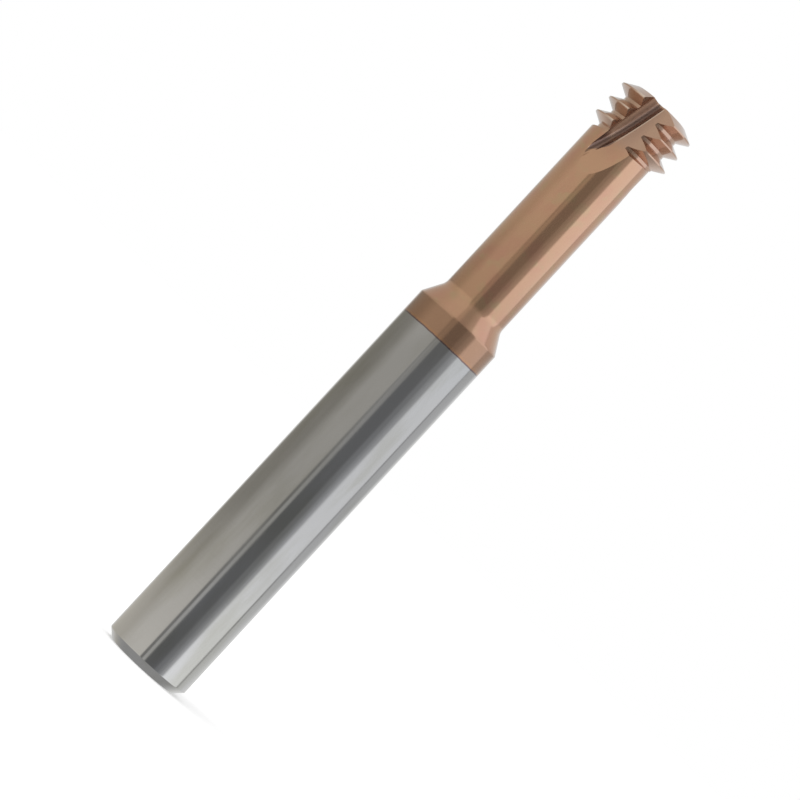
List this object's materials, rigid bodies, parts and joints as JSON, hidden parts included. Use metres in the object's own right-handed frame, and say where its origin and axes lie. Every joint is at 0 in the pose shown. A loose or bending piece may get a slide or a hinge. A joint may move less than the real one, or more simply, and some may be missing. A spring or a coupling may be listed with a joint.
{
  "type": "thread mill",
  "caption": "Solid carbide thread mill with a plain round shank, a slimmer neck and a short fluted head with rows of V teeth, bronze-coated from the neck's cone to the tip.",
  "frame": {"origin": "centre of the shank's flat end face, on which the tool stands", "axes": "+Z along the tool's axis from the shank's end to the cutting tip; -Y faces the reference view"},
  "size_m": [0.008, 0.008, 0.0612],
  "materials": {
    "carbide": "ground tungsten carbide, bare grey on the shank and coated bronze from below the cone to the tip"
  },
  "bodies": {
    "root": {"thread_mill": "carbide"}
  },
  "joints": []
}
